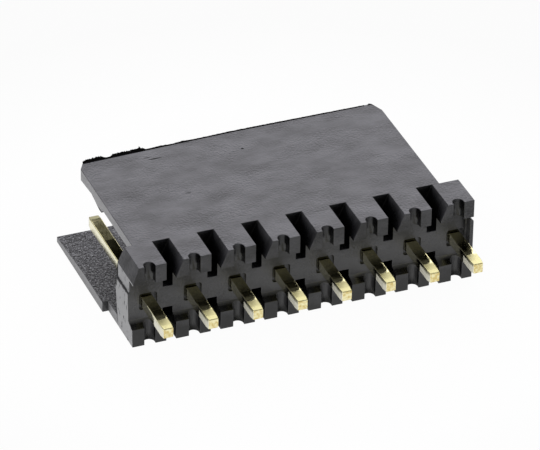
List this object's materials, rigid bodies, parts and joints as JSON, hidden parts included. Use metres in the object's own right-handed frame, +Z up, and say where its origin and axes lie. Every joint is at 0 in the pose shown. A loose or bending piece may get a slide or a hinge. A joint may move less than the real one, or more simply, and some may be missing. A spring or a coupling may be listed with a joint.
{
  "type": "shrouded pin header",
  "caption": "Single-row shrouded pin header with gold-plated square pins in a black moulded housing, lying on its lower shroud wall",
  "frame": {"origin": "middle of the footprint, on the surface that the header lies on", "axes": "X along the row of pins, Y from the solder tails to the open mouth of the shroud, Z up from the lower wall to the upper wall"},
  "size_m": [0.0204, 0.0138, 0.005],
  "materials": {
    "moulded_plastic": "black glass-filled polyester, fine moulded grain",
    "gold_plate": "bright gold plate on square bronze wire"
  },
  "bodies": {
    "root": {"housing": "moulded_plastic", "pin_1": "gold_plate", "pin_2": "gold_plate", "pin_3": "gold_plate", "pin_4": "gold_plate", "pin_5": "gold_plate", "pin_6": "gold_plate", "pin_7": "gold_plate", "pin_8": "gold_plate"}
  },
  "joints": []
}
